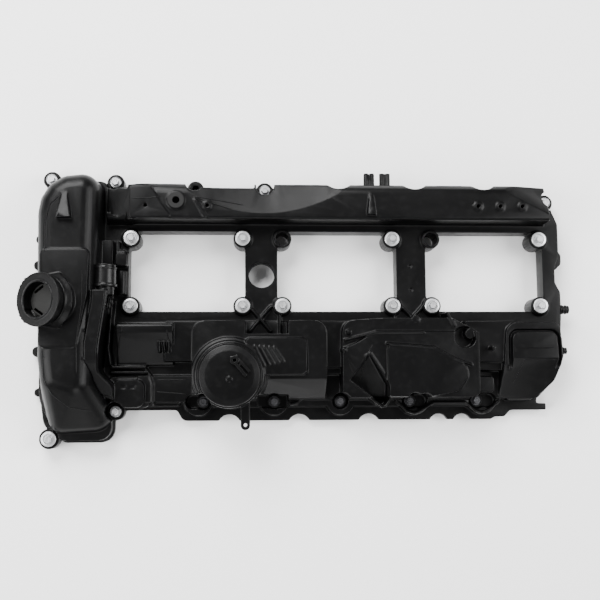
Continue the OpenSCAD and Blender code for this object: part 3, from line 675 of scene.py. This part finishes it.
def dress_frame() -> None:
    """Give every CAD node that still shows the finish that the record names for it."""
    slots = {part["node"]: part["material_slot"] for part in frame["record"]["subparts"]}
    finishes = {finish.value.name: finish for finish in Finish}
    for node, piece in frame["nodes"].items():
        dress(piece, finishes[slots[node]])


# ---- studio ----


@dataclass
class Studio:
    """Floor, soft lights and the camera that looks almost straight down."""

    eye: Vector = field(default_factory=lambda: Vector((-70.9, -110.5, 1179.0)) * MM)
    heading: Vector = field(default_factory=lambda: Vector((0.0573, 0.1041, -0.993)))
    roll: float = -0.0055
    focal: float = 57.3
    sensor: float = 36.0
    floor_size: float = 6.0
    floor_gap: float = 0.3 * MM
    daylight: float = 0.3

    def floor(self) -> None:
        """Lay a plain pale floor below the cover."""
        mesh = bmesh.new()
        bmesh.ops.create_grid(mesh, x_segments=1, y_segments=1, size=self.floor_size)
        bmesh.ops.translate(mesh, verts=mesh.verts, vec=(0.0, 0.0, CAD_BOUNDS[0][2] - self.floor_gap))
        piece = as_object(mesh, "floor")
        shader = Shader("floor_paper")
        tone = shader.noise(0.4, 2.0)
        piece.data.materials.append(shader.set(
            Base_Color=shader.blend(tone, (0.93, 0.93, 0.93), (0.96, 0.96, 0.96)), Roughness=0.9))

    def lamp(self, name: str, place: Sequence[float], size: float, power: float) -> None:
        """Hang a soft box that faces the cover.

        Args:
            name: the lamp's name.
            place: where it hangs, in metres.
            size: its edge in metres.
            power: its power in watts.
        """
        data = bpy.data.lights.new(name, "AREA")
        data.energy = power
        data.size = size
        lamp = bpy.data.objects.new(name, data)
        lamp.location = place
        lamp.rotation_euler = (-Vector(place)).to_track_quat("-Z", "Y").to_euler()
        bpy.context.scene.collection.objects.link(lamp)

    def camera(self) -> None:
        """Set the camera up."""
        ahead = self.heading.normalized()
        right = ahead.cross(Vector((0.0, 1.0, 0.0))).normalized()
        above = right.cross(ahead)
        turn = Matrix.Rotation(self.roll, 3, -ahead)
        right, above = turn @ right, turn @ above
        data = bpy.data.cameras.new("camera")
        data.lens = self.focal
        data.sensor_width = self.sensor
        camera = bpy.data.objects.new("camera", data)
        rows = Matrix((right, above, -ahead)).transposed().to_4x4()
        rows.translation = self.eye
        camera.matrix_world = rows
        bpy.context.scene.collection.objects.link(camera)
        bpy.context.scene.camera = camera

    def build(self) -> None:
        """Set the whole studio up."""
        self.floor()
        self.camera()
        self.lamp("key", (-0.7, 1.5, 1.5), 1.3, 120.0)
        self.lamp("fill", (1.6, 0.2, 1.3), 1.3, 60.0)
        self.lamp("left", (-1.6, -0.3, 1.2), 1.2, 50.0)
        self.lamp("front", (0.1, -1.7, 1.2), 1.2, 22.0)
        world = bpy.data.worlds.new("studio")
        world.use_nodes = True
        sky = world.node_tree.nodes["Background"]
        sky.inputs["Color"].default_value = (1.0, 1.0, 1.0, 1.0)
        sky.inputs["Strength"].default_value = self.daylight
        bpy.context.scene.world = world


def main() -> None:
    """Build every sub-assembly and report it."""
    logging.basicConfig(level=logging.INFO, format="%(message)s")
    dress_frame()
    mouldings = [
        Moulding("cover_housing", Finish.COVER, 1.0 * MM, 190_000),
        Moulding("breather_duct_shell", Finish.COVER, 0.7 * MM, 30_000),
        Moulding("breather_hose_collar", Finish.GLOSS, 0.5 * MM, 20_000),
        Moulding("oil_filler_neck", Finish.COVER, 0.7 * MM, 50_000),
        Moulding("pcv_cap", Finish.COVER, 0.6 * MM, 40_000),
        Moulding("filler_splash_baffle", Finish.INNER, 0.5 * MM, 12_000),
        Moulding("pcv_vent_clip", Finish.GLOSS, 0.35 * MM, 16_000),
        Moulding("vacuum_port_stubs", Finish.COVER, 0.4 * MM, 20_000),
        Moulding("engine_cover_grommet", Finish.SEAL, 0.35 * MM, 16_000),
    ]
    built = [moulding.build() for moulding in mouldings]
    Beads(LINES).build(built[0])
    for screws in (Screws("window_screws", Finish.ZINC, 8.9 * MM, 5.0 * MM),
                   Screws("corner_screw", Finish.ZINC, 8.9 * MM, 5.0 * MM),
                   Screws("edge_screws", Finish.ZINC, 6.6 * MM, 4.4 * MM),
                   Screws("pocket_screws", Finish.DARK, 6.6 * MM, 4.4 * MM)):
        screws.build()
    Studio().build()


if __name__ == "__main__":
    main()
